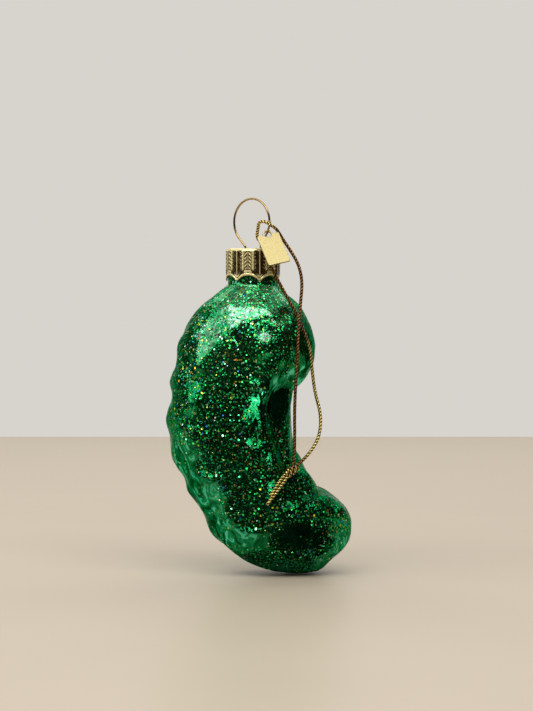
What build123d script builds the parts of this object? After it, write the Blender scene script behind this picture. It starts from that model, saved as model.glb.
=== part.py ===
from build123d import *
from math import acos, atan2, cos, hypot, pi, radians, sin, tan
import os

os.makedirs("parts", exist_ok=True)

# Blown-glass pickle ornament in millimetres, +Z up, its front towards -Y.
# The neck's axis is the Z axis, and Z = 0 is the inner top of the wire loop, where a hook holds it.

# Hanger wire: one round loop, two legs through the cap, sprung apart inside the neck
wire_radius = 0.28
loop_radius = 6.0
loop_stand = 0.88
loop_turn = 40.0
loop_lean = 0.45
leg_spacing = 5.2
leg_length = 12.0
leg_collar = 3.4
leg_gap = 0.6
wire_stand = 0.5
knee_radius = 0.9

# Stamped crown cap: a thin cup with ribs and a hem of petals
cap_sheet = 0.35
cap_clearance = 0.15
cap_height = 8.4
cap_edge = 0.6
petal_count = 7
petal_depth = 1.35
petal_tip = 0.5
petal_turn = -100.8
rib_radius = 0.4
rib_rise = 0.16
rib_spread = 26.0
hole_clearance = 0.14
rim_gap = 0.05

# Glass pickle: floor_turn sets how late the hollow's wall turns in over its floor
neck_radius = 6.5
neck_length = 9.0
glass_wall = 1.0
floor_turn = 12
wart_radius = 6.5
wart_rise = 0.85
wart_rows = 6
wart_columns = 7
wart_start = 15.9
wart_pitch = 9.6
wart_step = 0.5

# Level sections of the pickle: drop below the neck, middle in X, half width, half depth
pickle_sections = [
    (0.0, 0.0, neck_radius, neck_radius),
    (2.5, -0.6, 9.4, 8.6),
    (5.5, -0.7, 13.0, 11.3),
    (9.5, -0.9, 15.9, 13.2),
    (14.0, -1.2, 17.5, 14.4),
    (19.0, -1.8, 17.9, 14.9),
    (23.5, -3.3, 17.3, 15.1),
    (27.5, -5.2, 16.1, 15.2),
    (34.5, -5.9, 16.2, 15.4),
    (41.0, -5.3, 16.3, 15.3),
    (47.5, -2.9, 16.6, 14.8),
    (53.0, 0.4, 17.4, 14.2),
    (58.0, 4.9, 18.9, 13.4),
    (62.5, 7.2, 18.7, 12.2),
    (66.5, 8.0, 17.2, 10.9),
    (70.0, 8.7, 13.9, 8.9),
    (73.0, 9.7, 9.6, 6.2),
    (75.0, 11.2, 5.6, 3.6),
]

# Jump ring and tag
ring_radius = 1.65
ring_wire = 0.25
ring_split = 0.1
ring_lean = 15.0
ring_slack = 0.15
tag_width = 6.0
tag_length = 8.9
tag_thickness = 0.5
tag_corner = 0.35
tag_bevel = 0.08
tag_hole = 0.9
tag_lug = 0.5
tag_slack = 0.3

# Cord: corner_share is the part of a straight run that one corner may use up
cord_radius = 0.425
corner_share = 0.45
knot_radius = 0.85
knot_length = 3.6
knot_wraps = 3

# Heights and radii that follow from those sizes
cap_top = wire_radius - 2 * loop_radius - loop_stand
cap_bore = neck_radius + cap_clearance
cap_radius = cap_bore + cap_sheet
cap_hem = cap_top - cap_height
rim_level = cap_top - cap_sheet - rim_gap
shoulder_level = rim_level - neck_length
pickle_drop = pickle_sections[-1][0]
front = -cap_radius

# The loop stands across the neck in a turned upright plane, X along the loop and Y up.
loop_plane = Plane(
    origin=(0, 0, 0),
    x_dir=(cos(radians(loop_turn)), -sin(radians(loop_turn)), 0),
    z_dir=(-sin(radians(loop_turn)), -cos(radians(loop_turn)), 0),
)


def section_at(drop):
    """Middle, half width and half depth of the pickle at a drop below the neck."""
    for upper, lower in zip(pickle_sections, pickle_sections[1:]):
        if drop <= lower[0]:
            share = (drop - upper[0]) / (lower[0] - upper[0])
            return [a + (b - a) * share for a, b in zip(upper[1:], lower[1:])]
    return list(pickle_sections[-1][1:])


def skin_point(drop, angle):
    """Point of the pickle's skin at a drop below the neck and an angle round its section."""
    middle, half_width, half_depth = section_at(drop)
    return Vector(
        middle + half_width * cos(angle), half_depth * sin(angle), shoulder_level - drop
    )


def wart_centre(drop, angle):
    """Centre of a round wart that stands proud of the skin by wart_rise."""
    downward = skin_point(drop + wart_step, angle) - skin_point(drop - wart_step, angle)
    around = skin_point(drop, angle + wart_step) - skin_point(drop, angle - wart_step)
    inward = around.cross(downward).normalized()
    return skin_point(drop, angle) + inward * (wart_radius - wart_rise)


def cord_radii(points):
    """The largest radius that each corner of a route has room for."""
    radii = []
    for before, corner, after in zip(points, points[1:], points[2:]):
        run_in = Vector(corner) - Vector(before)
        run_out = Vector(after) - Vector(corner)
        half_turn = radians(run_in.get_angle(run_out)) / 2
        radii.append(corner_share * min(run_in.length, run_out.length) / tan(half_turn))
    return radii


def report_tube(name, points, line, solid):
    """Print a tube's radii, and its volume beside its section times its length."""
    radii = ", ".join(f"{radius:.1f}" for radius in cord_radii(points))
    expected = pi * cord_radius**2 * line.length
    print(f"{name}: length {line.length:.1f}, radii {radii}")
    print(f"{name}: volume {solid.volume:.2f}, section times length {expected:.2f}")


# Glass pickle: a closed, hollow blown form with an open neck
warts = [
    wart_centre(
        wart_start + wart_pitch * (row + 0.5 * (column % 2)),
        pi + 2 * pi * column / wart_columns,
    )
    for column in range(wart_columns)
    for row in range(wart_rows)
]

with BuildPart() as glass_body:
    for drop, middle, half_width, half_depth in pickle_sections:
        with BuildSketch(Plane.XY.offset(shoulder_level - drop)):
            with Locations((middle, 0)):
                Ellipse(half_width, half_depth)
    loft()
    with Locations(*warts):
        Sphere(wart_radius)
    with BuildSketch(Plane.XY.offset(shoulder_level)):
        Circle(neck_radius)
    extrude(amount=neck_length)
    for drop, middle, half_width, half_depth in pickle_sections:
        floor_lift = glass_wall * (drop / pickle_drop) ** floor_turn
        with BuildSketch(Plane.XY.offset(shoulder_level - drop + floor_lift)):
            with Locations((middle, 0)):
                Ellipse(half_width - glass_wall, half_depth - glass_wall)
    loft(mode=Mode.SUBTRACT)
    with BuildSketch(Plane.XY.offset(shoulder_level)):
        Circle(neck_radius - glass_wall)
    extrude(amount=neck_length, mode=Mode.SUBTRACT)
glass_body.part.label = "glass_body"
export_step(glass_body.part, "parts/glass_body.step")

# Cap: a drawn cup over the neck, with two wire holes, ribs in pairs and a petal hem
petal_chord = pi * cap_radius / petal_count - petal_tip / 2
petal_arch = (petal_chord**2 + petal_depth**2) / (2 * petal_depth)
rib_length = cap_height - petal_depth - 2 * cap_edge

with BuildPart() as cap:
    with BuildSketch(Plane.XY.offset(cap_hem)):
        Circle(cap_radius)
    extrude(amount=cap_height)
    fillet(cap.edges().sort_by(Axis.Z)[-1], cap_edge)
    for petal in range(petal_count):
        for side in (-0.5, 0.5):
            turn = radians(petal_turn + 360 * petal / petal_count + side * rib_spread)
            reach = cap_radius + rib_rise - rib_radius
            with Locations((reach * cos(turn), reach * sin(turn), cap_top - cap_edge)):
                Cylinder(rib_radius, rib_length, align=(Align.CENTER, Align.CENTER, Align.MAX))
    with BuildSketch(Plane.XY.offset(cap_hem)):
        Circle(cap_bore)
    extrude(amount=cap_height - cap_sheet, mode=Mode.SUBTRACT)
    for petal in range(petal_count):
        turn = radians(petal_turn + 360 * petal / petal_count)
        outward = Plane(
            origin=(0, 0, cap_hem + petal_depth - petal_arch),
            x_dir=(-sin(turn), cos(turn), 0),
            z_dir=(cos(turn), sin(turn), 0),
        )
        with BuildSketch(outward):
            Circle(petal_arch)
        extrude(amount=cap_radius + 2 * rib_rise, mode=Mode.SUBTRACT)
    with BuildSketch(Plane(origin=(0, 0, cap_top), x_dir=loop_plane.x_dir, z_dir=(0, 0, 1))):
        with GridLocations(leg_spacing, 0, 2, 1):
            Circle(wire_radius + hole_clearance)
    extrude(amount=-2 * cap_sheet, mode=Mode.SUBTRACT)
cap.part.label = "cap"
export_step(cap.part, "parts/cap.step")

# Hanger wire: each leg rises through its hole, then leaves at a slant that meets the loop's circle
loop_centre = (-loop_lean, wire_radius - loop_radius)
leg_reach = neck_radius - glass_wall - wire_radius - leg_gap
knee_level = cap_top + wire_stand


def loop_tangent(side):
    """Point where the slant from one knee meets the loop's circle."""
    across = side * leg_spacing / 2 - loop_centre[0]
    down = knee_level - loop_centre[1]
    bearing = atan2(down, across) + side * acos(loop_radius / hypot(across, down))
    return (
        loop_centre[0] + loop_radius * cos(bearing),
        loop_centre[1] + loop_radius * sin(bearing),
    )


def leg_points(side):
    """Leg of the wire from its sprung end up to the loop."""
    return [
        (side * leg_reach, cap_top - leg_length),
        (side * leg_spacing / 2, cap_top - leg_collar),
        (side * leg_spacing / 2, knee_level),
        loop_tangent(side),
    ]


with BuildPart() as hanger_wire:
    with BuildLine(loop_plane) as wire_line:
        FilletPolyline(*leg_points(-1), radius=knee_radius)
        ThreePointArc(
            loop_tangent(-1),
            (loop_centre[0], loop_centre[1] + loop_radius),
            loop_tangent(1),
        )
        FilletPolyline(*reversed(leg_points(1)), radius=knee_radius)
    with BuildSketch(Plane(origin=wire_line.wire() @ 0, z_dir=wire_line.wire() % 0)):
        Circle(wire_radius)
    sweep(path=wire_line.wire())
hanger_wire.part.label = "hanger_wire"
export_step(hanger_wire.part, "parts/hanger_wire.step")

# Cord: up from the knot, through the jump ring, round one leg of the wire loop,
# over the cap's rim and down beside itself to the knot again
cord_route = [
    (10.4, -12.2, -68.4),
    (10.7, -12.3, -62.5),
    (10.6, -12.2, -52.0),
    (11.3, -12.2, -41.5),
    (11.6, -11.4, -33.0),
    (12.2, -9.8, -26.4),
    (12.7, -7.6, -21.2),
    (11.8, front + 1.6, cap_top - 4.2),
    (9.7, front + 3.0, cap_top - 0.6),
    (7.7, front + 3.4, cap_top + 2.3),
    (6.4, front + 2.8, cap_top + 4.5),
    (5.3, front + 0.6, cap_top + 5.5),
    (2.9, front + 0.7, cap_top + 7.0),
    (1.3, front + 2.1, cap_top + 6.9),
    (0.9, front + 3.7, cap_top + 5.0),
    (1.3, front + 5.3, cap_top + 3.0),
    (2.6, front + 6.1, cap_top + 1.6),
    (4.0, front + 4.8, cap_top + 0.9),
    (3.9, front + 2.0, cap_top + 0.8),
    (3.2, front - 0.7, cap_top + 0.2),
    (4.1, front - 1.4, cap_top - 3.7),
    (6.4, front - 1.5, cap_top - 8.2),
    (8.8, -8.5, -25.2),
    (11.2, -8.7, -29.6),
    (13.3, -8.9, -34.2),
    (14.8, -8.3, -38.8),
    (15.2, -7.5, -44.0),
    (15.9, -7.4, -49.6),
    (17.5, -8.2, -55.2),
    (17.1, -9.7, -60.8),
    (14.3, -11.2, -65.2),
    (11.1, -12.1, -68.0),
]
ring_seat = (4.3, front + 0.6, cap_top + 6.1)

with BuildPart() as cord_loop:
    with BuildLine() as cord_line:
        FilletPolyline(*cord_route, radius=cord_radii(cord_route))
    with BuildSketch(Plane(origin=cord_line.wire() @ 0, z_dir=cord_line.wire() % 0)):
        Circle(cord_radius)
    sweep(path=cord_line.wire())
cord_loop.part.label = "cord_loop"
export_step(cord_loop.part, "parts/cord_loop.step")
report_tube("cord_loop", cord_route, cord_line.wire(), cord_loop.part)

# Knot: the doubled cord wrapped round itself, lying on a slant
knot_plane = Plane(origin=(9.9, -12.3, -69.2), z_dir=(-0.81, -0.12, -0.58))
wrap_pitch = knot_length / (knot_wraps + 0.5)

with BuildPart(knot_plane) as cord_knot:
    Cylinder(knot_radius, knot_length)
    for wrap in range(knot_wraps):
        rise = (wrap - (knot_wraps - 1) / 2) * wrap_pitch
        with Locations((0, 0, rise)):
            Torus(knot_radius, cord_radius)
cord_knot.part.label = "cord_knot"
export_step(cord_knot.part, "parts/cord_knot.step")

# Tails: the two cut ends below the knot, lying side by side on the glass
tail_routes = {
    "cord_tail_long": [
        (9.2, -12.5, -70.2),
        (7.9, -13.5, -71.9),
        (6.0, -14.8, -74.4),
        (3.7, -15.8, -77.4),
    ],
    "cord_tail_short": [
        (8.6, -12.5, -69.3),
        (7.0, -13.7, -70.8),
        (5.4, -14.8, -72.9),
        (4.1, -15.7, -75.2),
    ],
}

for tail_name, tail_route in tail_routes.items():
    with BuildPart() as cord_tail:
        with BuildLine() as tail_line:
            FilletPolyline(*tail_route, radius=cord_radii(tail_route))
        with BuildSketch(Plane(origin=tail_line.wire() @ 0, z_dir=tail_line.wire() % 0)):
            Circle(cord_radius)
        sweep(path=tail_line.wire())
    cord_tail.part.label = tail_name
    export_step(cord_tail.part, f"parts/{tail_name}.step")
    report_tube(tail_name, tail_route, tail_line.wire(), cord_tail.part)

# Jump ring: a split ring of wire that hangs on the cord, edge on to the front
ring_down = Vector(-sin(radians(ring_lean)), 0, -cos(radians(ring_lean)))
ring_normal = Vector(cos(radians(ring_lean)), 0, -sin(radians(ring_lean)))
ring_offset = ring_radius - ring_wire - cord_radius - ring_slack
ring_centre = Vector(ring_seat) + ring_down * ring_offset
split_turn = 360 * ring_split / (2 * pi * ring_radius)

with BuildPart() as jump_ring:
    with BuildSketch(Plane(origin=ring_centre + Vector(0, ring_radius, 0), z_dir=ring_down)):
        Circle(ring_wire)
    revolve(axis=Axis(ring_centre, ring_normal), revolution_arc=360 - split_turn)
jump_ring.part.label = "jump_ring"
export_step(jump_ring.part, "parts/jump_ring.step")

# Tag: a plain plate with a round lug, leaning out over the cap's rim
tag_down = Vector(0.344, -0.442, -0.829).normalized()
tag_across = Vector(0.924, 0.316, 0.2145).normalized()
ring_bottom = ring_centre + ring_down * ring_radius
hole_centre = ring_bottom + tag_down * (tag_hole - ring_wire - tag_slack)
tag_plane = Plane(origin=hole_centre, x_dir=tag_across, z_dir=tag_down.cross(tag_across))

with BuildPart() as tag:
    with BuildSketch(tag_plane):
        with Locations((0, -tag_length / 2)):
            RectangleRounded(tag_width, tag_length, tag_corner)
        Circle(tag_hole + tag_lug)
        Circle(tag_hole, mode=Mode.SUBTRACT)
    extrude(amount=tag_thickness / 2, both=True)
    flat_faces = tag.faces().filter_by(Axis(hole_centre, tag_plane.z_dir))
    chamfer(flat_faces.edges(), tag_bevel)
tag.part.label = "tag"
export_step(tag.part, "parts/tag.step")
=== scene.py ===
import bmesh
import bpy
import math
import random
from mathutils import Matrix, Vector, noise
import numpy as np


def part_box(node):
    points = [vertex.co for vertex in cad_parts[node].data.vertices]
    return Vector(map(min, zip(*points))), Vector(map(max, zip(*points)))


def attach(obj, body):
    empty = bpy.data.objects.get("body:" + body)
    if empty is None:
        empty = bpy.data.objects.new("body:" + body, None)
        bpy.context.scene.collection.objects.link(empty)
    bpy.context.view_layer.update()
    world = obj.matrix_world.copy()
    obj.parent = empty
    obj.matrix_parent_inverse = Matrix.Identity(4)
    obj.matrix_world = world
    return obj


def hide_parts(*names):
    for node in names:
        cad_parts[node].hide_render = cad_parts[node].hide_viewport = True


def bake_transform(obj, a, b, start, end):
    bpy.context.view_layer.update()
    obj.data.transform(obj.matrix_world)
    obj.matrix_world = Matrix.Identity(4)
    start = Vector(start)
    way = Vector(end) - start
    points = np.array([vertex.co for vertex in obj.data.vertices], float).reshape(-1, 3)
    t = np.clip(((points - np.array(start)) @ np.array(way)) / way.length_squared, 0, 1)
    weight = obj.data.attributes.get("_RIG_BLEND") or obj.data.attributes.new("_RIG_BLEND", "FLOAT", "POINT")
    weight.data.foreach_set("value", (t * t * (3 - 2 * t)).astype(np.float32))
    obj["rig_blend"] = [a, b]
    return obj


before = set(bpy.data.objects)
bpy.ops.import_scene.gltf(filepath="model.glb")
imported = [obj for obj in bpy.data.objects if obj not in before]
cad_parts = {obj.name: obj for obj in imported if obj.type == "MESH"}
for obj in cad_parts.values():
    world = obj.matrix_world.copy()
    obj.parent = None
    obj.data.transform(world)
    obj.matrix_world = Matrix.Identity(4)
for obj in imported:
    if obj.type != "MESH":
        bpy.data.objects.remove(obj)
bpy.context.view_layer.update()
scene = bpy.context.scene
scene.view_settings.view_transform = "Standard"
mm = 0.001
grainHeight = 0.05 * mm  # height that a bump of full strength stands for
print("frame loaded:", ", ".join(sorted(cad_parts)))


# small helpers for meshes and node trees
def inMetres(point):
    return Vector(point) * mm


def fadeIn(distance, width):
    return min(1.0, max(0.0, distance / width))


def ridge(place, middle, width):
    return math.exp(-(((place - middle) / width) ** 2))


def addPiece(name, bm, materials):
    mesh = bpy.data.meshes.new(name)
    bm.to_mesh(mesh)
    bm.free()
    for material in materials:
        mesh.materials.append(material)
    mesh.polygons.foreach_set("use_smooth", [True] * len(mesh.polygons))
    piece = bpy.data.objects.new(name, mesh)
    scene.collection.objects.link(piece)
    return piece


def addAimed(name, data, place, way):
    aimed = bpy.data.objects.new(name, data)
    scene.collection.objects.link(aimed)
    aimed.location = inMetres(place)
    aimed.rotation_mode = "QUATERNION"
    aimed.rotation_quaternion = way.to_track_quat("-Z", "Y")
    return aimed


def extrudeRing(bm, ring):
    made = bmesh.ops.extrude_edge_only(bm, edges=ring)["geom"]
    verts = [g for g in made if isinstance(g, bmesh.types.BMVert)]
    fresh = set(verts)
    return verts, [g for g in made if isinstance(g, bmesh.types.BMEdge) and fresh.issuperset(g.verts)]


def newMaterial(name):
    material = bpy.data.materials.new(name)
    material.use_nodes = True
    tree = material.node_tree
    return material, tree, tree.nodes["Principled BSDF"]


def feed(tree, socket, value):
    if isinstance(value, bpy.types.NodeSocket):
        tree.links.new(value, socket)
    else:
        socket.default_value = value


def addNode(tree, kind, settings=None, **inputs):
    # an input goes by its title, or by i and its number where titles repeat
    made = tree.nodes.new(kind)
    for key, value in (settings or {}).items():
        setattr(made, key, value)
    for key, value in inputs.items():
        numbered = key[0] == "i" and key[1:].isdigit()
        feed(tree, made.inputs[int(key[1:]) if numbered else key], value)
    return made


def addNoise(tree, place, scale, detail, distortion=0.0):
    made = addNode(tree, "ShaderNodeTexNoise", Vector=place, Scale=scale, Detail=detail,
                   Distortion=distortion)
    return made.outputs


def addRamp(tree, source, stops, interpolation="LINEAR"):
    ramp = addNode(tree, "ShaderNodeValToRGB", i0=source)
    ramp.color_ramp.interpolation = interpolation
    elements = ramp.color_ramp.elements
    while len(elements) < len(stops):
        elements.new(1.0)
    for element, (place, colour) in zip(elements, stops):
        element.position = place
        element.color = (*colour, 1.0)
    return ramp.outputs["Color"]


def addMix(tree, share, first, second):
    return addNode(tree, "ShaderNodeMix", {"data_type": "RGBA"}, i0=share, i6=first, i7=second).outputs[2]


def addLean(tree, share, first, second):
    return addNode(tree, "ShaderNodeMix", {"data_type": "VECTOR"}, i0=share, i4=first, i5=second).outputs[1]


def addMath(tree, operation, first, second=0.0, third=0.0, clamp=False):
    settings = {"operation": operation, "use_clamp": clamp}
    return addNode(tree, "ShaderNodeMath", settings, i0=first, i1=second, i2=third).outputs[0]


def addVector(tree, operation, **inputs):
    made = addNode(tree, "ShaderNodeVectorMath", {"operation": operation}, **inputs)
    return made.outputs["Value" if operation == "LENGTH" else "Vector"]


def addRange(tree, source, low, high, first, second):
    made = addNode(tree, "ShaderNodeMapRange", {"interpolation_type": "SMOOTHSTEP"},
                   i0=source, i1=low, i2=high, i3=first, i4=second)
    return made.outputs[0]


def addBump(tree, shader, height, strength):
    bump = addNode(tree, "ShaderNodeBump", Height=height, Strength=strength, Distance=grainHeight)
    tree.links.new(bump.outputs[0], shader.inputs["Normal"])


def millimetres(tree):
    place = addNode(tree, "ShaderNodeTexCoord").outputs["Object"]
    return addVector(tree, "SCALE", i0=place, Scale=1 / mm)


# camera at the photograph's height and distance
view = {
    "lens": 100.0,
    "sensor": 36.0,
    "frameHeight": 184.9,
    "aim": (3.5, 0.0, -40.4),
    "rise": 2.5,
    "clip": (0.01, 50),
}


def setCamera():
    data = bpy.data.cameras.new("photoCamera")
    data.lens = view["lens"]
    data.sensor_width = view["sensor"]
    data.clip_start, data.clip_end = view["clip"]
    distance = view["lens"] / view["sensor"] * view["frameHeight"]
    rise = math.radians(view["rise"])
    back = Vector((0, -math.cos(rise), math.sin(rise)))
    scene.camera = addAimed("photoCamera", data, Vector(view["aim"]) + back * distance, -back)


setCamera()
print("camera set")

# studio: a pale table top in a pale room that is bright above and behind, dark in front
studio = {
    "tableLevel": -97.3,
    "tableFront": -200.0,
    "tableBack": 420.0,
    "tableHalf": 620.0,
    "tableColour": (0.62, 0.53, 0.41, 1),
    "tableGrain": (0.02, 3.0),  # scale and detail of a noise, here and below
    "tableShades": (0.97, 1.03),
    "tableRoughness": 0.4,
    "tableShine": 0.3,
    "boxes": [  # name, place, aimed at, width, height, radiance
        ("frontHigh", (-10, -310, 420), (0, 0, -40), 900, 260, 3.8),
        ("leftHigh", (-620, -140, 250), (0, 0, -40), 380, 360, 1.95),
        ("rightBack", (620, 520, 120), (0, 0, -50), 160, 520, 0.4),
        ("backHigh", (0, 330, 330), (0, 330, -97), 900, 260, 1.7),
    ],
    "roomColour": (1.0, 0.957, 0.90, 1),
    "roomFront": 0.04,
    "roomBack": 0.68,
    "roomRight": 0.5,
    "roomTop": 0.5,
    "depthFade": (0.42, 0.97),
    "sideFade": (0.1, 0.8),
    "heightFade": (0.55, 0.82),
}


def paleFinish():
    material, tree, shader = newMaterial("paleTable")
    grain = addNoise(tree, millimetres(tree), *studio["tableGrain"])[0]
    darker, lighter = (Vector(studio["tableColour"]) * shade for shade in studio["tableShades"])
    tree.links.new(addMix(tree, grain, darker, lighter), shader.inputs["Base Color"])
    shader.inputs["Roughness"].default_value = studio["tableRoughness"]
    shader.inputs["Specular IOR Level"].default_value = studio["tableShine"]
    return material


def buildStage():
    bm = bmesh.new()
    bmesh.ops.create_grid(bm, x_segments=1, y_segments=1, size=1)
    depth = (studio["tableBack"] - studio["tableFront"]) / 2
    bmesh.ops.scale(bm, vec=(studio["tableHalf"] * mm, depth * mm, 1), verts=bm.verts)
    middle = inMetres((0, studio["tableFront"] + depth, studio["tableLevel"]))
    bmesh.ops.translate(bm, vec=middle, verts=bm.verts)
    addPiece("paleTable", bm, [paleFinish()])


def buildLights():
    for name, place, aim, width, height, radiance in studio["boxes"]:
        data = bpy.data.lights.new(name, "AREA")
        data.shape = "RECTANGLE"
        data.size, data.size_y = width * mm, height * mm
        data.energy = math.pi * data.size * data.size_y * radiance
        addAimed(name, data, place, inMetres(Vector(aim) - Vector(place)))


def paintRoom():
    world = bpy.data.worlds.new("paleRoom")
    world.use_nodes = True
    scene.world = world
    tree = world.node_tree
    around = addNode(tree, "ShaderNodeTexCoord").outputs["Generated"]
    way = addNode(tree, "ShaderNodeSeparateXYZ", i0=around).outputs
    depth = addRange(tree, way["Y"], *studio["depthFade"], studio["roomFront"], studio["roomBack"])
    side = addRange(tree, way["X"], *studio["sideFade"], 1.0, studio["roomRight"])
    above = addRange(tree, way["Z"], *studio["heightFade"], 0.0, studio["roomTop"])
    bright = addMath(tree, "MAXIMUM", addMath(tree, "MULTIPLY", depth, side), above)
    # the eye sees the same pale wall all round
    seen = addNode(tree, "ShaderNodeLightPath").outputs["Is Camera Ray"]
    unseen = addMath(tree, "MULTIPLY", bright, addMath(tree, "SUBTRACT", 1.0, seen))
    glow = tree.nodes["Background"]
    glow.inputs["Color"].default_value = studio["roomColour"]
    tree.links.new(addMath(tree, "MULTIPLY_ADD", seen, studio["roomBack"], unseen), glow.inputs["Strength"])


buildStage()
buildLights()
paintRoom()
print("studio lit")

# shared finishes as node groups
glitter = {
    "edge": 14.0,
    "tints": [  # place on a scale from 0 to 1 where the colour starts, colour
        (0.00, (0.008, 0.22, 0.04)), (0.34, (0.02, 0.62, 0.10)), (0.60, (0.06, 0.85, 0.30)),
        (0.76, (0.40, 0.97, 0.66)), (0.81, (0.46, 0.70, 0.05)), (0.86, (0.05, 0.60, 0.60)),
        (0.885, (0.04, 0.22, 0.72)), (0.905, (0.86, 0.80, 0.07)), (0.94, (0.90, 0.36, 0.04)),
        (0.96, (0.86, 1.0, 0.90)),
    ],
}
oldGold = {
    "cloud": (0.9, 4.0),
    "wear": 0.5,
    "grain": (7.0, 3.0),
    "grainRoughness": 0.18,
}
midGrey = (0.5, 0.5, 0.5)  # taken from a random colour, it leaves a lean to any side


def startGroup(name, takes, gives):
    tree = bpy.data.node_groups.new(name, "ShaderNodeTree")
    for title, kind, value in takes:
        socket = tree.interface.new_socket(title, in_out="INPUT", socket_type=kind)
        if value is not None:
            socket.default_value = value
    for title, kind in gives:
        tree.interface.new_socket(title, in_out="OUTPUT", socket_type=kind)
    return tree, tree.nodes.new("NodeGroupInput").outputs, tree.nodes.new("NodeGroupOutput").inputs


def useGroup(tree, group, **inputs):
    return addNode(tree, "ShaderNodeGroup", {"node_tree": group}, **inputs).outputs


def buildFlakeGroup():
    tree, takes, gives = startGroup(
        "glitterFlakes",
        [("Vector", "NodeSocketVector", None), ("Upright", "NodeSocketVector", None),
         ("Spacing", "NodeSocketFloat", 0.6), ("Size", "NodeSocketFloat", 0.4),
         ("Tilt", "NodeSocketFloat", 0.6)],
        [("Mask", "NodeSocketFloat"), ("Tint", "NodeSocketColor"), ("Normal", "NodeSocketVector")],
    )
    cells = addNode(tree, "ShaderNodeTexVoronoi", {"voronoi_dimensions": "3D", "feature": "F1"},
                    Vector=takes["Vector"], Scale=addMath(tree, "DIVIDE", 1.0, takes["Spacing"])).outputs
    inside = addMath(tree, "SUBTRACT", takes["Size"], cells["Distance"])
    tree.links.new(addMath(tree, "MULTIPLY", inside, glitter["edge"], clamp=True), gives["Mask"])
    pick = addNode(tree, "ShaderNodeSeparateColor", i0=cells["Color"]).outputs[0]
    tree.links.new(addRamp(tree, pick, glitter["tints"], "CONSTANT"), gives["Tint"])
    lean = addVector(tree, "SUBTRACT", i0=cells["Color"], i1=midGrey)
    lean = addVector(tree, "SCALE", i0=lean, Scale=takes["Tilt"])
    leaned = addVector(tree, "ADD", i0=takes["Upright"], i1=lean)
    tree.links.new(addVector(tree, "NORMALIZE", i0=leaned), gives["Normal"])
    return tree


def buildSpotGroup():
    # a soft round patch seen from the front, full inside half of its size
    tree, takes, gives = startGroup(
        "softSpot",
        [(title, "NodeSocketVector", None) for title in ("Vector", "Centre", "Size")],
        [("Mask", "NodeSocketFloat")],
    )
    away = addVector(tree, "SUBTRACT", i0=takes["Vector"], i1=takes["Centre"])
    share = addVector(tree, "DIVIDE", i0=away, i1=takes["Size"])
    flat = addVector(tree, "MULTIPLY", i0=share, i1=(1, 0, 1))
    reach = addVector(tree, "LENGTH", i0=flat)
    tree.links.new(addRange(tree, reach, 0.5, 1.0, 1.0, 0.0), gives["Mask"])
    return tree


def buildGoldGroup():
    tree, takes, gives = startGroup(
        "oldGold",
        [("Vector", "NodeSocketVector", None), ("Relief", "NodeSocketFloat", 1.0),
         ("Bright", "NodeSocketColor", (0.8, 0.6, 0.25, 1)),
         ("Dark", "NodeSocketColor", (0.1, 0.06, 0.02, 1)),
         ("Smoothness", "NodeSocketFloat", 0.25)],
        [("Colour", "NodeSocketColor"), ("Roughness", "NodeSocketFloat"), ("Height", "NodeSocketFloat")],
    )
    # relief picks between dark and bright: on the cap it carries painted shade in the recesses and painted
    # highlights on the raised stamping, while the cloud adds random wear
    cloud = addNoise(tree, takes["Vector"], *oldGold["cloud"])[0]
    grain = addNoise(tree, takes["Vector"], *oldGold["grain"])[0]
    worn = addMath(tree, "MULTIPLY_ADD", cloud, oldGold["wear"], -oldGold["wear"] / 2)
    share = addMath(tree, "ADD", takes["Relief"], worn, clamp=True)
    rough = addMath(tree, "MULTIPLY_ADD", grain, oldGold["grainRoughness"], takes["Smoothness"])
    tree.links.new(addMix(tree, share, takes["Dark"], takes["Bright"]), gives["Colour"])
    tree.links.new(rough, gives["Roughness"])
    tree.links.new(grain, gives["Height"])
    return tree


flakeGroup = buildFlakeGroup()
spotGroup = buildSpotGroup()
goldGroup = buildGoldGroup()


def gild(tree, shader, look, relief):
    gold = useGroup(tree, goldGroup, Vector=millimetres(tree), Relief=relief,
                    Bright=look["bright"], Dark=look["dark"], Smoothness=look["smoothness"])
    tree.links.new(gold["Colour"], shader.inputs["Base Color"])
    tree.links.new(gold["Roughness"], shader.inputs["Roughness"])
    addBump(tree, shader, gold["Height"], look["grain"])
    shader.inputs["Metallic"].default_value = look["metal"]


print("shared finishes made")

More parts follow.
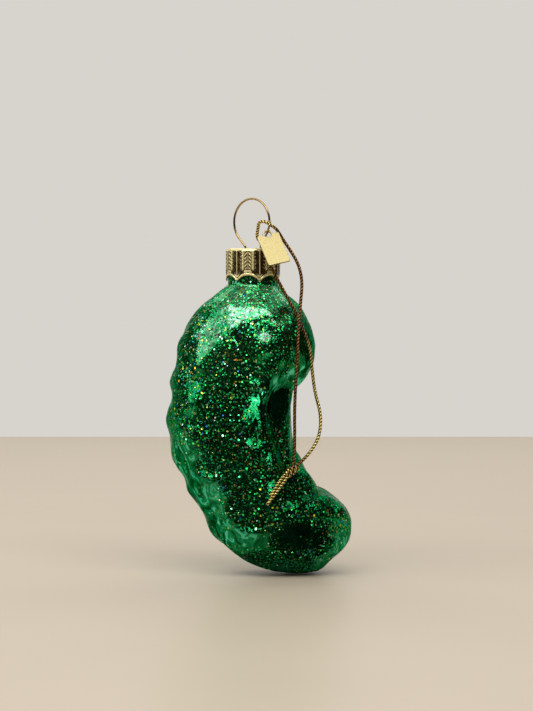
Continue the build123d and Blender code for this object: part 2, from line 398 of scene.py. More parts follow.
# cord: one doubled cord, from one cut tail through the knot, round the loop and back to the other tail
cord = {
    "diameter": 0.85,
    "strands": 4,
    "lay": 1.75,
    "strandRadius": 0.235,
    "strandAway": 0.205,
    "stepsPerLay": 9,
    "fineness": 10,
    "route": [
        (3.7, -15.8, -77.4), (6.0, -14.8, -74.4), (7.9, -13.5, -71.9), (9.2, -12.5, -70.2),
        (10.4, -12.2, -68.4), (10.7, -12.3, -62.5), (10.6, -12.2, -52.0), (11.3, -12.2, -41.5),
        (11.6, -11.4, -33.0), (12.2, -9.8, -26.4), (12.7, -7.6, -21.2), (11.8, -5.4, -16.8),
        (9.7, -4.0, -13.2), (7.7, -3.6, -10.3), (6.4, -4.2, -8.1), (5.3, -6.4, -7.1),
        (2.9, -6.3, -5.6), (1.5, -4.9, -5.9), (1.3, -3.2, -7.6), (0.9, -1.4, -9.8),
        (2.2, -0.3, -11.1), (4.1, -1.9, -11.7), (3.9, -5.0, -11.8), (3.2, -7.7, -12.4),
        (4.1, -8.4, -16.3), (6.4, -8.5, -20.8), (8.8, -8.5, -25.2), (11.2, -8.7, -29.6),
        (13.3, -8.9, -34.2), (14.8, -8.3, -38.8), (15.2, -7.5, -44.0), (15.9, -7.4, -49.6),
        (17.5, -8.2, -55.2), (17.1, -9.7, -60.8), (14.3, -11.2, -65.2), (11.1, -12.1, -68.0),
        (8.8, -12.6, -69.5), (7.3, -13.7, -71.1), (5.8, -14.8, -73.2), (4.5, -15.7, -75.5),
    ],
    "knotMiddle": (9.9, -12.3, -69.2),
    "knotAxis": (-0.81, -0.12, -0.58),
    "knotRadius": 0.85,
    "knotLength": 3.1,
    "knotTurns": 3.3,
    "stepsPerTurn": 12,
    # each thread has a plain colour, and a lit colour for the painted light along the cord
    "darkThread": {"plain": (0.006, 0.003, 0.002), "gilt": (0.07, 0.035, 0.010), "roughness": 0.42},
    "goldThread": {"plain": (0.26, 0.085, 0.022), "gilt": (1.0, 0.82, 0.27), "roughness": 0.3},
    "metal": 0.88,
    "specks": (2.6, 3.0),
    "speckShare": (2.4, -1.15),
    "fibre": (16.0, 2.0),
    "fibreBump": 0.35,
    "bowFoot": (-10.4, 1.2),  # where the painted light starts and how far it fades in, here and below
    "bowSide": (6.2, 1.0),
    "bendSide": (12.6, 2.6),
    "bendTop": (-33.0, 4.0),
    "endsTop": (-67.0, 4.0),
    "bodies": ("cap", "glass"),
    "turnsFrom": (0, 0, -14.5),
    "turnsTo": (0, 0, -25.5),
}


def splineLine(points, name):
    curve = bpy.data.curves.new(name, "CURVE")
    curve.dimensions = "3D"
    curve.resolution_u = cord["fineness"]
    spline = curve.splines.new("NURBS")
    spline.points.add(len(points) - 1)
    for control, point in zip(spline.points, points):
        control.co = (*inMetres(point), 1.0)
    spline.order_u = 3
    spline.use_endpoint_u = True
    bare = bpy.data.objects.new(name, curve)
    mesh = bpy.data.meshes.new_from_object(bare)
    line = [v.co.copy() for v in mesh.vertices]
    bpy.data.meshes.remove(mesh)
    bpy.data.objects.remove(bare)
    bpy.data.curves.remove(curve)
    return line


def runLengths(line):
    lengths = [0.0]
    for a, b in zip(line, line[1:]):
        lengths.append(lengths[-1] + (b - a).length)
    return lengths


def evenLine(line):
    step = cord["lay"] / cord["stepsPerLay"] * mm
    lengths = runLengths(line)
    count = max(2, round(lengths[-1] / step))
    even, at = [], 0
    for k in range(count + 1):
        goal = lengths[-1] * k / count
        while at < len(line) - 2 and lengths[at + 1] < goal:
            at += 1
        run = lengths[at + 1] - lengths[at]
        even.append(line[at].lerp(line[at + 1], (goal - lengths[at]) / run if run else 0.0))
    return even


def knotWraps():
    axis = Vector(cord["knotAxis"]).normalized()
    across = axis.orthogonal().normalized()
    up = axis.cross(across)
    steps = cord["knotTurns"] * cord["stepsPerTurn"]
    wraps = []
    for k in range(int(steps) + 1):
        turn = 2 * math.pi * k / cord["stepsPerTurn"]
        along = (k / steps - 0.5) * cord["knotLength"]
        out = (across * math.cos(turn) + up * math.sin(turn)) * cord["knotRadius"]
        wraps.append(Vector(cord["knotMiddle"]) + axis * along + out)
    return wraps


def strandFrames(line):
    # two sides square to the line at each point, carried along without a twist
    tangents = [(b - a).normalized() for a, b in zip(line, line[1:])]
    tangents.append(tangents[-1])
    side = tangents[0].orthogonal().normalized()
    frames = []
    for tangent in tangents:
        side = (side - tangent * side.dot(tangent)).normalized()
        frames.append((side.copy(), tangent.cross(side)))
    return frames


def twistCord(line, name, materials):
    frames = strandFrames(line)
    lengths = runLengths(line)
    bm = bmesh.new()
    for strand in range(cord["strands"]):
        curve = bpy.data.curves.new(f"{name}{strand}", "CURVE")
        curve.dimensions = "3D"
        curve.bevel_depth = cord["strandRadius"] * mm
        curve.bevel_resolution = 1
        curve.use_fill_caps = True
        spline = curve.splines.new("POLY")
        spline.points.add(len(line) - 1)
        for control, point, (across, up), along in zip(spline.points, line, frames, lengths):
            turn = 2 * math.pi * (along / (cord["lay"] * mm) + strand / cord["strands"])
            out = (across * math.cos(turn) + up * math.sin(turn)) * (cord["strandAway"] * mm)
            control.co = (*(point + out), 1.0)
        holder = bpy.data.objects.new(f"{name}{strand}", curve)
        mesh = bpy.data.meshes.new_from_object(holder)
        mesh.polygons.foreach_set("material_index", [strand % len(materials)] * len(mesh.polygons))
        bm.from_mesh(mesh)
        bpy.data.meshes.remove(mesh)
        bpy.data.objects.remove(holder)
        bpy.data.curves.remove(curve)
    return addPiece(name, bm, materials)


def threadFinish(name):
    look = cord[name]
    material, tree, shader = newMaterial(name)
    place = millimetres(tree)
    # the thread turns to its lit colour where light is painted along the cord, and random specks add painted
    # glints
    specks = addMath(tree, "MULTIPLY_ADD", addNoise(tree, place, *cord["specks"])[0], *cord["speckShare"])
    gilt = addNode(tree, "ShaderNodeAttribute", {"attribute_name": "gilt"}).outputs["Fac"]
    share = addMath(tree, "ADD", gilt, specks, clamp=True)
    shade = addMix(tree, share, (*look["plain"], 1), (*look["gilt"], 1))
    tree.links.new(shade, shader.inputs["Base Color"])
    shader.inputs["Metallic"].default_value = cord["metal"]
    shader.inputs["Roughness"].default_value = look["roughness"]
    addBump(tree, shader, addNoise(tree, place, *cord["fibre"])[0], cord["fibreBump"])
    return material


def giltAt(point):
    # painted light: the cord is painted in its lit gold colours in its bow over the ring, in its loose bend
    # and at its cut ends
    x, z = point.x / mm, point.z / mm

    def past(edge, place, sign):
        start, width = cord[edge]
        return fadeIn((place - start) * sign, width)

    bow = past("bowFoot", z, 1) * past("bowSide", x, -1)
    bend = past("bendSide", x, 1) * past("bendTop", z, -1)
    return max(bow, bend, past("endsTop", z, -1))


def addGilt(piece):
    gilt = piece.data.attributes.new("gilt", "FLOAT", "POINT")
    gilt.data.foreach_set("value", [giltAt(v.co) for v in piece.data.vertices])


def buildCord():
    threads = [threadFinish("darkThread"), threadFinish("goldThread")]
    line = evenLine(splineLine(cord["route"], "cordRoute"))
    rope = twistCord(line, "twistedCord", threads)
    knot = twistCord(evenLine(splineLine(knotWraps(), "knotRoute")), "cordKnot", threads)
    addGilt(rope)
    addGilt(knot)
    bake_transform(rope, *cord["bodies"], start=inMetres(cord["turnsFrom"]), end=inMetres(cord["turnsTo"]))
    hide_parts("cord_loop", "cord_tail_long", "cord_tail_short")
    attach(knot, "glass")
    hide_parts("cord_knot")
    print(f"cord laid, {runLengths(line)[-1] / mm:.1f} mm")


buildCord()

# glass pickle: a lofted skin with warts, a fold on its hollow side, silvered green under glitter
pickle = {
    "segments": 168,
    "ringEvery": 0.5,
    "neckRadius": 6.5,
    "neckTop": -13.0,
    "neckWall": 1.0,
    "neckInside": 6.0,
    "rimRing": 0.5,
    "footRing": 0.8,
    "shoulder": -22.0,
    "sections": [  # drop below the neck, left and right edge in X, half depth
        (0.0, -6.5, 6.5, 6.5), (2.5, -10.0, 8.8, 8.6), (5.5, -13.7, 12.2, 11.3),
        (9.5, -16.8, 14.9, 13.2), (14.0, -18.6, 16.2, 14.4), (19.0, -19.6, 16.1, 14.9),
        (23.0, -20.6, 14.6, 15.1), (25.8, -21.1, 12.6, 15.2), (27.6, -21.3, 10.7, 15.2),
        (34.5, -22.1, 10.3, 15.4), (41.0, -21.6, 10.9, 15.3), (47.0, -19.8, 13.5, 14.9),
        (51.5, -17.8, 16.6, 14.4), (53.6, -16.7, 18.1, 14.2), (55.2, -15.8, 21.3, 14.0),
        (57.5, -14.5, 24.0, 13.7), (60.0, -12.9, 25.3, 13.3), (63.2, -11.2, 25.9, 12.8),
        (66.5, -9.4, 25.2, 11.6), (70.0, -5.2, 22.4, 9.1), (73.0, 0.0, 19.3, 6.3),
        (74.5, 4.6, 17.2, 4.2), (75.0, 8.2, 15.0, 2.2),
    ],
    "wartColumns": 7,
    "wartRows": 6,
    "wartStart": 15.9,
    "wartPitch": 9.6,
    "wartRise": 0.95,
    "wartWidth": 2.9,
    "wartHeights": (0.75, 1.0),
    "wartWidths": (0.9, 1.15),
    "sink": 0.2,
    "lumps": [(7.0, 0.55), (3.4, 0.24), (1.5, 0.06)],  # size, height
    "lumpShift": (3.1, 7.7, 1.9),
    "folds": [  # line in X and Z, rise and width of the ridge, place and depth of its groove
        ([(7.6, -44.2), (4.4, -47.9), (2.4, -52.6), (2.9, -58.5), (4.2, -64.2), (5.5, -68.4), (7.3, -71.8)],
         0.75, 1.9, 3.1, 0.95),
        ([(-17.0, -68.6), (-9.6, -71.4), (-6.4, -76.6), (-5.4, -82.6), (4.5, -85.4)],
         0.45, 1.5, -2.4, 0.35),
        ([(10.6, -47.6), (8.2, -49.6), (6.8, -53.0)], 0.5, 1.2, 2.0, 0.0),
    ],
    "foldSteps": 8,
    "foldEnds": 6.0,
    "foldFacing": 1.6,
    "topFade": 6.0,
    "tipFade": 5.0,
    "tipPlain": 0.6,
    "cloud": (0.16, 3.0),  # scale and detail of a noise, here and below, some with a distortion
    "lacquer": [(0.32, (0.004, 0.16, 0.042)), (0.52, (0.008, 0.26, 0.08)), (0.7, (0.015, 0.36, 0.135))],
    "facetFlat": 0.9,
    "facetLift": 0.15,
    "grain": (1.9, 2.0),
    "sway": (0.25, 1.3),
    "swaySlope": (0.12, 0.4),
    "stretch": (0.5, 0.5, 0.26),
    "waves": (1.2, 1.0, 0.8),
    "waveBreak": (0.3, 0.66),
    "ripples": 0.6,
    "ripplySpots": [  # a spot's centre and reach in X and Z and its share, here and below
        ((1.4, -52.4), (5.0, 8.0), 1.0),
    ],
    "uprightDarkSpots": [  # where the facets stand upright and the colour is painted dark, as a painted dark reflection
        ((-4.0, -64.0), (16.0, 20.0), 0.8), ((2.5, -76.5), (15.0, 13.0), 0.9),
        ((12.2, -88.0), (13.5, 9.0), 1.0), ((8.0, -53.0), (4.5, 9.0), 0.9),
        ((5.0, -94.2), (20.0, 7.6), 0.97), ((15.4, -79.0), (9.0, 5.0), 0.6),
    ],
    "paintedDarkColour": (0, 0.006, 0.002, 1),
    "paintedDarkShare": 0.55,
    "streaks": (1.5, 2.0),
    "glintSpots": [  # small bosses that catch the light from above
        ((0.3, -61.7), (2.6, 2.2), 1.0), ((4.6, -66.0), (1.7, 2.4), 0.9),
        ((5.0, -73.4), (1.8, 2.8), 0.9), ((-10.5, -70.0), (5.0, 1.2), 0.9),
        ((-0.6, -84.3), (6.0, 1.2), 0.8), ((9.6, -78.0), (3.4, 1.6), 0.8),
    ],
    "glintBreak": (0.4, 0.6),
    "glintLift": (0.12, 0.55),
    # painted reflections: the patches on the belly's under side
    "patches": (0.62, 3.5, 1.3),
    "patchColours": [
        (0.42, (0.002, 0.05, 0.016)), (0.46, (0.008, 0.20, 0.07)),
        (0.56, (0.012, 0.28, 0.11)), (0.58, (0.11, 0.76, 0.48)),
    ],
    # painted shade on the faces that look down
    "patchSlope": (-0.05, -0.3),
    "undersideShadeSlope": (-0.6, -0.9),
    "undersideShadeShare": 0.85,
    "undersideShadeColour": (0, 0.012, 0.004, 1),
    "coarseFlakes": {"Spacing": 1.05, "Size": 0.29, "Tilt": 1.3},
    "fineFlakes": {"Spacing": 0.46, "Size": 0.5, "Tilt": 0.62},
    "fineShare": 0.65,
    "bareSpots": [  # where no glitter lies
        ((6.2, -51.0), (4.5, 9.0), 0.9), ((14.5, -39.0), (4.5, 9.0), 0.7),
        ((-13.5, -76.0), (6.0, 9.0), 0.8), ((-1.0, -86.5), (8.0, 3.2), 0.8),
        ((11.5, -86.5), (8.0, 5.0), 0.8), ((1.6, -52.4), (3.6, 5.4), 0.7),
        ((9.0, -95.8), (15.0, 5.0), 0.75),
    ],
    "roughness": 0.12,
    "flakeRoughness": 0.08,
    "edgeTint": (0.32, 0.55, 0.42, 1),
    "glossSpots": [  # where the clear lacquer is thick
        ((1.0, -29.0), (15.0, 11.0), 1.0), ((-9.0, -36.0), (11.0, 11.0), 0.65),
    ],
    "glossBreak": (0.42, 0.54),
    "glossShares": (0.1, 1.0),
    "glossRim": (0.4, 0.8),
    "glossRoughness": 0.12,
    "glossIor": 2.0,
    "seed": 12,
}


def sectionAt(drop):
    # a smooth curve through the sections, as left edge, right edge and half depth
    table = pickle["sections"]
    at = 0
    while at < len(table) - 2 and table[at + 1][0] < drop:
        at += 1
    a, b = table[at], table[at + 1]
    before, after = table[max(at - 1, 0)], table[min(at + 2, len(table) - 1)]
    span = b[0] - a[0]
    t = (drop - a[0]) / span
    found = []
    for k in (1, 2, 3):
        slopeA = (b[k] - before[k]) / (b[0] - before[0])
        slopeB = (after[k] - a[k]) / (after[0] - a[0])
        found.append(
            a[k] * (2 * t**3 - 3 * t**2 + 1) + slopeA * span * (t**3 - 2 * t**2 + t)
            + b[k] * (3 * t**2 - 2 * t**3) + slopeB * span * (t**3 - t**2)
        )
    return found


def skinPoint(drop, turn):
    left, right, halfDepth = sectionAt(drop)
    across = (left + right) / 2 + (right - left) / 2 * math.cos(turn)
    return Vector((across, halfDepth * math.sin(turn), pickle["shoulder"] - drop))


def skinWarts():
    rng = random.Random(pickle["seed"])
    warts = []
    for column in range(pickle["wartColumns"]):
        for row in range(pickle["wartRows"]):
            drop = pickle["wartStart"] + pickle["wartPitch"] * (row + 0.5 * (column % 2))
            centre = skinPoint(drop, math.pi + 2 * math.pi * column / pickle["wartColumns"])
            warts.append((centre, rng.uniform(*pickle["wartHeights"]), rng.uniform(*pickle["wartWidths"])))
    return warts


def smoothFold(line):
    # an even curve through the line's points
    steps = pickle["foldSteps"]
    fine = []
    for k in range(len(line) - 1):
        p0, p1, p2, p3 = (Vector(line[min(max(k + j, 0), len(line) - 1)]) for j in (-1, 0, 1, 2))
        for t in (i / steps for i in range(steps)):
            fine.append(0.5 * (2 * p1 + (p2 - p0) * t + (2 * p0 - 5 * p1 + 4 * p2 - p3) * t**2
                               + (3 * p1 - p0 - 3 * p2 + p3) * t**3))
    return fine + [Vector(line[-1])]


def foldLift(point, folds):
    total = 0.0
    flat = Vector((point.x, point.z))
    for line, rise, width, grooveAway, grooveDepth in folds:
        best, side, along = 1e9, 0.0, 0.0
        for k, (a, b) in enumerate(zip(line, line[1:])):
            run, rel = b - a, flat - a
            share = fadeIn(rel.dot(run), run.length_squared)
            away = (rel - run * share).length
            if away < best:
                best, along = away, (k + share) / (len(line) - 1)
                side = away if run.x * rel.y - run.y * rel.x > 0 else -away
        ends = min(1.0, along * pickle["foldEnds"], (1.0 - along) * pickle["foldEnds"])
        total += (rise * ridge(side, 0.0, width) - grooveDepth * ridge(side, grooveAway, width)) * ends
    return total


def skinRise(v, warts, folds):
    rise = -pickle["sink"]
    near = [
        high * math.exp(-(v.co - centre).length_squared / (pickle["wartWidth"] * wide) ** 2)
        for centre, high, wide in warts
    ]
    rise += pickle["wartRise"] * max(near)
    rise += foldLift(v.co, folds) * min(1.0, abs(v.normal.y) * pickle["foldFacing"])
    for size, height in pickle["lumps"]:
        rise += height * noise.noise(v.co / size + Vector(pickle["lumpShift"]))
    return rise


def addSpots(tree, place, kind):
    total = 0.0
    for (x, z), (wide, high), share in pickle[kind]:
        spot = useGroup(tree, spotGroup, Vector=place, Centre=(x, 0, z), Size=(wide, 1, high))
        total = addMath(tree, "MAXIMUM", total, addMath(tree, "MULTIPLY", spot["Mask"], share))
    return total


def standFacets(tree, place, skin, deep, streak):
    # the belly's facets stand more upright than its skin, so they show the dark side of the room
    level = addMath(tree, "MULTIPLY_ADD", deep, -pickle["facetFlat"], 1.0)
    stand = addNode(tree, "ShaderNodeCombineXYZ", X=1.0, Y=1.0, Z=level).outputs[0]
    broken = addRange(tree, streak, *pickle["glintBreak"], *pickle["glintLift"])
    glint = addMath(tree, "MULTIPLY", addSpots(tree, place, "glintSpots"), broken)
    rise = addMath(tree, "MULTIPLY_ADD", deep, pickle["facetLift"], glint)
    lift = addNode(tree, "ShaderNodeCombineXYZ", Z=rise).outputs[0]
    return addVector(tree, "NORMALIZE", i0=addVector(tree, "MULTIPLY_ADD", i0=skin, i1=stand, i2=lift))


def swayGround(tree, place, stretch, slope, upright):
    # the skin between the flakes sways, and beside the fold it ripples downwards
    aside = addVector(tree, "SUBTRACT", i0=addNoise(tree, place, *pickle["grain"])["Color"], i1=midGrey)
    amount = addRange(tree, slope, *pickle["swaySlope"], *pickle["sway"])
    swayed = addVector(tree, "ADD", i0=upright, i1=addVector(tree, "SCALE", i0=aside, Scale=amount))
    waves = addNoise(tree, stretch, *pickle["waves"])[0]
    waves = addRange(tree, waves, *pickle["waveBreak"], 0.0, pickle["ripples"])
    ripple = addMath(tree, "MULTIPLY", waves, addSpots(tree, place, "ripplySpots"))
    rippled = addNode(tree, "ShaderNodeCombineXYZ", Z=ripple).outputs[0]
    return addVector(tree, "NORMALIZE", i0=addVector(tree, "ADD", i0=swayed, i1=rippled))


def lacquerColour(tree, place, stretch, slope, deep, fineMask, fineTint):
    cloud = addNoise(tree, place, *pickle["cloud"])[0]
    colour = addRamp(tree, cloud, pickle["lacquer"])
    colour = addMix(tree, addMath(tree, "MULTIPLY", fineMask, pickle["fineShare"]), colour, fineTint)
    # painted dark reflection where the facets stand upright
    dark = addMath(tree, "MULTIPLY", deep, pickle["paintedDarkShare"])
    colour = addMix(tree, dark, colour, pickle["paintedDarkColour"])
    # where the belly faces a little down, crisp patches of dark and bright green are painted as reflections,
    # and the lowest faces are painted dark as shade
    under = addRange(tree, slope, *pickle["patchSlope"], 0.0, 1.0)
    under = addMath(tree, "MULTIPLY", under, addMath(tree, "SUBTRACT", 1.0, deep))
    patches = addNoise(tree, stretch, *pickle["patches"])[0]
    colour = addMix(tree, under, colour, addRamp(tree, patches, pickle["patchColours"]))
    pool = addRange(tree, slope, *pickle["undersideShadeSlope"], 0.0, pickle["undersideShadeShare"])
    return addMix(tree, pool, colour, pickle["undersideShadeColour"])


def glossWeight(tree, place, streak):
    # clear lacquer lies thick and streaky on the shoulder
    broken = addRange(tree, streak, *pickle["glossBreak"], *pickle["glossShares"])
    gloss = addMath(tree, "MULTIPLY", addSpots(tree, place, "glossSpots"), broken)
    rim = addNode(tree, "ShaderNodeLayerWeight", Blend=0.5).outputs["Facing"]
    return addMath(tree, "MULTIPLY", gloss, addRange(tree, rim, *pickle["glossRim"], 1.0, 0.0))


def glassFinish():
    material, tree, shader = newMaterial("greenGlass")
    place = millimetres(tree)
    stretch = addVector(tree, "MULTIPLY", i0=place, i1=pickle["stretch"])
    skin = addNode(tree, "ShaderNodeNewGeometry").outputs["Normal"]
    slope = addNode(tree, "ShaderNodeSeparateXYZ", i0=skin).outputs["Z"]
    streak = addNoise(tree, place, *pickle["streaks"])[0]
    deep = addSpots(tree, place, "uprightDarkSpots")
    upright = standFacets(tree, place, skin, deep, streak)
    ground = swayGround(tree, place, stretch, slope, upright)
    coarse = useGroup(tree, flakeGroup, Vector=place, Upright=upright, **pickle["coarseFlakes"])
    fine = useGroup(tree, flakeGroup, Vector=place, Upright=upright, **pickle["fineFlakes"])
    covered = addMath(tree, "SUBTRACT", 1.0, addSpots(tree, place, "bareSpots"))
    coarseMask = addMath(tree, "MULTIPLY", coarse["Mask"], covered)
    fineMask = addMath(tree, "MULTIPLY", fine["Mask"], covered)
    colour = lacquerColour(tree, place, stretch, slope, deep, fineMask, fine["Tint"])
    tree.links.new(addMix(tree, coarseMask, colour, coarse["Tint"]), shader.inputs["Base Color"])
    normal = addLean(tree, fineMask, ground, fine["Normal"])
    normal = addLean(tree, coarseMask, normal, coarse["Normal"])
    tree.links.new(normal, shader.inputs["Normal"])
    flakes = addMath(tree, "MAXIMUM", fineMask, coarseMask)
    rough = addMath(tree, "MULTIPLY_ADD", flakes, pickle["flakeRoughness"], pickle["roughness"])
    tree.links.new(rough, shader.inputs["Roughness"])
    tree.links.new(glossWeight(tree, place, streak), shader.inputs["Coat Weight"])
    shader.inputs["Specular Tint"].default_value = pickle["edgeTint"]
    shader.inputs["Metallic"].default_value = 1.0
    shader.inputs["Coat Roughness"].default_value = pickle["glossRoughness"]
    shader.inputs["Coat IOR"].default_value = pickle["glossIor"]
    return material


def drawSkin(bm):
    turnOf = bm.verts.layers.float["turn"]
    dropOf = bm.verts.layers.float["drop"]
    bmesh.ops.create_circle(bm, segments=pickle["segments"], radius=pickle["neckRadius"])
    neck = pickle["neckTop"] - pickle["shoulder"]
    for v in bm.verts:
        v[turnOf] = math.atan2(v.co.y, v.co.x)
        v[dropOf] = -neck
        v.co.z = pickle["neckTop"]
    rim = ring = bm.edges[:]
    bottom = pickle["sections"][-1][0]
    rows = round(bottom / pickle["ringEvery"])
    drops = [pickle["rimRing"] - neck, -0.5 * neck, -pickle["footRing"]]
    for drop in drops + [bottom * k / rows for k in range(rows + 1)]:
        verts, ring = extrudeRing(bm, ring)
        for v in verts:
            v[dropOf] = drop
            v.co = skinPoint(max(drop, 0.0), v[turnOf])
            v.co.z = pickle["shoulder"] - drop
    tip, ring = extrudeRing(bm, ring)
    bmesh.ops.pointmerge(bm, verts=tip, merge_co=sum((v.co for v in tip), Vector()) / len(tip))
    # the neck's rim turns in and runs down inside, so that the mouth has a wall
    out = pickle["neckRadius"] - pickle["neckWall"]
    for fall in (0.0, pickle["neckInside"]):
        verts, rim = extrudeRing(bm, rim)
        for v in verts:
            v.co = Vector((out * math.cos(v[turnOf]), out * math.sin(v[turnOf]), pickle["neckTop"] - fall))
    bmesh.ops.holes_fill(bm, edges=rim)
    bmesh.ops.recalc_face_normals(bm, faces=bm.faces)
    bm.normal_update()


def raiseSkin(bm):
    # warts, folds and lumps rise from the skin, and stay inside the CAD glass's box
    dropOf = bm.verts.layers.float["drop"]
    warts = skinWarts()
    folds = [(smoothFold(line), *look) for line, *look in pickle["folds"]]
    low, high = (Vector(corner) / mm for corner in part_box("glass_body"))
    lastDrop = pickle["sections"][-1][0] - pickle["tipPlain"]
    moves = []
    for v in bm.verts:
        fade = fadeIn(v[dropOf], pickle["topFade"]) * fadeIn(lastDrop - v[dropOf], pickle["tipFade"])
        if fade > 0.0:
            moves.append((v, v.normal * (skinRise(v, warts, folds) * fade)))
    for v, move in moves:
        v.co = Vector(min(max(c, a), b) for c, a, b in zip(v.co + move, low, high))


def buildPickle():
    bm = bmesh.new()
    for name in ("turn", "drop"):
        bm.verts.layers.float.new(name)
    drawSkin(bm)
    raiseSkin(bm)
    bmesh.ops.scale(bm, vec=(mm, mm, mm), verts=bm.verts)
    body = addPiece("glassPickle", bm, [glassFinish()])
    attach(body, "glass")
    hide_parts("glass_body")
    print("pickle blown,", len(body.data.polygons), "faces")


buildPickle()

# stamped cap: a drawn cup with wheat ears, ropes and a petal hem
cap = {
    "repeats": 7,
    "perRepeat": 46,
    "turn": -100.8,
    "top": -12.6,
    "height": 8.4,
    "radius": 6.93,
    "bore": 6.65,
    "edge": 0.6,
    "edgeSteps": 4,
    "sheet": 0.35,
    "petalDepth": 1.35,
    "petalGap": 0.25,
    "rows": 66,
    "holeAway": 2.6,
    "holeTurn": -40.0,
    "holeRadius": 0.42,
    "holeSegments": 18,
    "press": 0.21,
    "pressFloor": -0.75,
    "bead": 0.95,
    "beadSlants": {"ear": -7.0, "bars": 6.0, "rope": 16.0},  # degrees round for one bead up or down
    "ear": (4.6, 3.4),  # degrees from the middle of an arch and half width, down to the leaf
    "spine": (0.0, 0.9),
    "rope": (11.0, 2.3),
    "bars": (16.2, 1.9),
    "panel": (19.5, 4.2),
    "leafTurn": (5.5, 3.2),
    "ribWidth": 1.5,
    "leaf": (1.05, 0.42),  # mm above the hem and half width, down to the scroll
    "rim": (0.42, 0.3),
    "scroll": (1.15, 0.3),
    "scrollTurns": 14.0,
    "hemBand": (1.4, 0.5),  # height and fade
    "crown": 0.9,
    # the reliefs also set colour: raised parts are painted light as highlights, sunk parts painted dark as
    # shade
    "reliefs": {
        "ear": 0.9, "spine": 0.4, "rope": 0.55, "ropeBead": 0.45, "bars": 0.6, "rib": 0.75, "panel": -0.75,
        "scroll": 0.8, "hem": -0.2, "crown": 0.7, "edge": 0.8, "inside": 0.2,
    },
    "sharpFrom": 50,
    "contrast": (2.2, -0.05),
    "bright": (1.0, 0.87, 0.41, 1),
    "dark": (0.045, 0.023, 0.006, 1),
    "smoothness": 0.12,
    "grain": 0.12,
    "metal": 0.35,
}


def fromArch(turn):
    # degrees to the middle of the nearest arch in the hem
    half = 180.0 / cap["repeats"]
    return (turn + half) % (2 * half) - half


def hemLevel(turn):
    skirt = cap["bore"] + cap["sheet"]
    chord = math.pi * skirt / cap["repeats"] - cap["petalGap"]
    arch = (chord**2 + cap["petalDepth"] ** 2) / (2 * cap["petalDepth"])
    across = math.radians(fromArch(turn)) * skirt
    rise = cap["petalDepth"] - arch + math.sqrt(max(0.0, arch**2 - across**2))
    return cap["top"] - cap["height"] + max(0.0, rise)


def wallRelief(away, depth):
    relief = cap["reliefs"]

    def beads(name):
        return math.cos(2 * math.pi * (depth / cap["bead"] + away / cap["beadSlants"][name]))

    ear = ridge(away, *cap["ear"]) * max(0.0, beads("ear"))
    spine = ridge(away, *cap["spine"])
    rope = ridge(away, *cap["rope"]) * (relief["rope"] + relief["ropeBead"] * (0.5 + 0.5 * beads("rope")))
    bars = ridge(away, *cap["bars"]) * max(0.0, beads("bars"))
    rib = ridge(away, 180.0 / cap["repeats"], cap["ribWidth"])
    raised = max(
        rope, ear * relief["ear"], rib * relief["rib"], bars * relief["bars"], spine * relief["spine"]
    )
    return raised + relief["panel"] * ridge(away, *cap["panel"]) * (1 - bars)


def hemRelief(away, hem):
    leaf = ridge(away, *cap["leafTurn"]) * ridge(hem, *cap["leaf"])
    scroll = ridge(hem, *cap["scroll"]) * (0.5 + 0.5 * math.cos(math.radians(away * cap["scrollTurns"])))
    return max(ridge(hem, *cap["rim"]), leaf, scroll * cap["reliefs"]["scroll"]) + cap["reliefs"]["hem"]


def capRelief(turn, depth, hem):
    # depth and hem are the distances in mm from the cap's top and from its hem
    away = abs(fromArch(turn))
    bandTop, bandFade = cap["hemBand"]
    low = max(0.0, 1.0 - max(0.0, hem - bandTop) / bandFade)
    body = wallRelief(away, depth) * (1 - low) + hemRelief(away, hem) * low
    crown = max(0.0, 1.0 - depth / cap["crown"])
    return body * (1 - crown) + cap["reliefs"]["crown"] * crown


def capFinish():
    material, tree, shader = newMaterial("stampedGold")
    # painted light: the stamping's colour follows its relief, lighter as painted highlights on raised parts,
    # the top and its rounded shoulder, darker as painted shade in the sunk parts
    relief = addNode(tree, "ShaderNodeAttribute", {"attribute_name": "relief"}).outputs["Fac"]
    gild(tree, shader, cap, addMath(tree, "MULTIPLY_ADD", relief, *cap["contrast"], clamp=True))
    return material


def capEdge(turn, share):
    # the cup's rounded shoulder: radius, level and relief at a share of the way round it; its relief only
    # sets colour, a painted highlight
    angle = math.pi / 2 * share
    radius = cap["radius"] - cap["edge"] + cap["edge"] * math.sin(angle)
    return radius, cap["top"] - cap["edge"] * (1 - math.cos(angle)), cap["reliefs"]["edge"]


def capWall(turn, share):
    # the stamped wall, from the shoulder down to the hem
    start = cap["top"] - cap["edge"]
    hem = hemLevel(turn)
    level = start + (hem - start) * share
    relief = capRelief(turn, cap["top"] - level, level - hem)
    return cap["radius"] + cap["press"] * max(cap["pressFloor"], relief), level, relief


def capInside(turn, share):
    # the bore, from the hem back up to the under side of the top; its relief only sets colour, painted
    # darker going up as shade
    hem = hemLevel(turn)
    level = hem + (cap["top"] - cap["sheet"] - hem) * share
    return cap["bore"], level, cap["reliefs"]["inside"] * (1 - share)


def drawCap(bm, ring, shape, share):
    # one more ring of the cup, in the shape of one of the three above
    turnOf = bm.verts.layers.float["turn"]
    reliefOf = bm.verts.layers.float["relief"]
    verts, ring = extrudeRing(bm, ring)
    for v in verts:
        radius, level, v[reliefOf] = shape(v[turnOf], share)
        turn = math.radians(v[turnOf] + cap["turn"])
        v.co = Vector((radius * math.cos(turn), radius * math.sin(turn), level))
    return ring


def cutHole(bm, side):
    turn = math.radians(cap["holeTurn"])
    spot = Vector((math.cos(turn), math.sin(turn), 0)) * cap["holeAway"] * side + Vector((0, 0, cap["top"]))
    known = set(bm.edges)
    bmesh.ops.create_circle(bm, segments=cap["holeSegments"], radius=cap["holeRadius"],
                            matrix=Matrix.Translation(spot))
    return [e for e in bm.edges if e not in known]


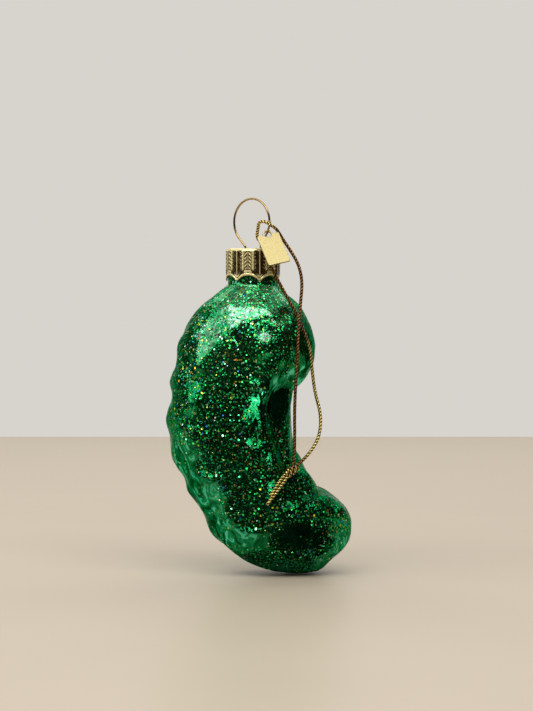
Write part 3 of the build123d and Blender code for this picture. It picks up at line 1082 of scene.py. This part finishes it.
def shapeCap(bm):
    turnOf = bm.verts.layers.float["turn"]
    reliefOf = bm.verts.layers.float["relief"]
    count = cap["repeats"] * cap["perRepeat"]
    bmesh.ops.create_circle(bm, segments=count, radius=cap["radius"] - cap["edge"],
                            matrix=Matrix.Translation((0, 0, cap["top"])))
    for v in bm.verts:
        v[turnOf] = math.degrees(math.atan2(v.co.y, v.co.x)) - cap["turn"]
        v[reliefOf] = cap["reliefs"]["crown"]
    face = ring = bm.edges[:]
    holes = [cutHole(bm, side) for side in (-1, 1)]
    for step in range(1, cap["edgeSteps"] + 1):
        ring = drawCap(bm, ring, capEdge, step / cap["edgeSteps"])
    for row in range(1, cap["rows"] + 1):
        ring = drawCap(bm, ring, capWall, row / cap["rows"])
    for share in (0.0, 1.0):
        ring = drawCap(bm, ring, capInside, share)
    under = []
    for hole in holes:
        verts, edges = extrudeRing(bm, hole)
        bmesh.ops.translate(bm, vec=(0, 0, -cap["sheet"]), verts=verts)
        under += edges
    bmesh.ops.triangle_fill(bm, use_beauty=True, edges=face + holes[0] + holes[1])
    bmesh.ops.triangle_fill(bm, use_beauty=True, edges=ring + under)
    bmesh.ops.recalc_face_normals(bm, faces=bm.faces)


def buildCap():
    bm = bmesh.new()
    for name in ("relief", "turn"):
        bm.verts.layers.float.new(name)
    shapeCap(bm)
    bmesh.ops.scale(bm, vec=(mm, mm, mm), verts=bm.verts)
    piece = addPiece("stampedCap", bm, [capFinish()])
    piece.data.set_sharp_from_angle(angle=math.radians(cap["sharpFrom"]))
    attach(piece, "cap")
    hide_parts("cap")
    print("cap stamped,", len(piece.data.polygons), "faces")


buildCap()

# wire, ring and tag keep their CAD shape and get a gold finish
hangerWire = {
    "node": "hanger_wire",
    "finish": "wireGold",
    "relief": 0.75,
    "bright": (0.52, 0.37, 0.15, 1),
    "dark": (0.14, 0.08, 0.03, 1),
    "smoothness": 0.14,
    "grain": 0.15,
    "metal": 1.0,
}
jumpRing = {
    "node": "jump_ring",
    "finish": "ringGold",
    "relief": 0.75,
    "bright": (0.50, 0.36, 0.14, 1),
    "dark": (0.10, 0.06, 0.02, 1),
    "smoothness": 0.18,
    "grain": 0.15,
    "metal": 1.0,
}
goldTag = {
    "node": "tag",
    "finish": "tagGold",
    "relief": 0.75,
    "bright": (0.46, 0.39, 0.185, 1),
    "dark": (0.36, 0.29, 0.12, 1),
    "smoothness": 0.34,
    "grain": 0.15,
    "metal": 1.0,
}


def finishNode(look):
    material, tree, shader = newMaterial(look["finish"])
    gild(tree, shader, look, look["relief"])
    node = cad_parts[look["node"]]
    node.data.materials.clear()
    node.data.materials.append(material)


for look in (hangerWire, jumpRing, goldTag):
    finishNode(look)
print("gold parts finished")
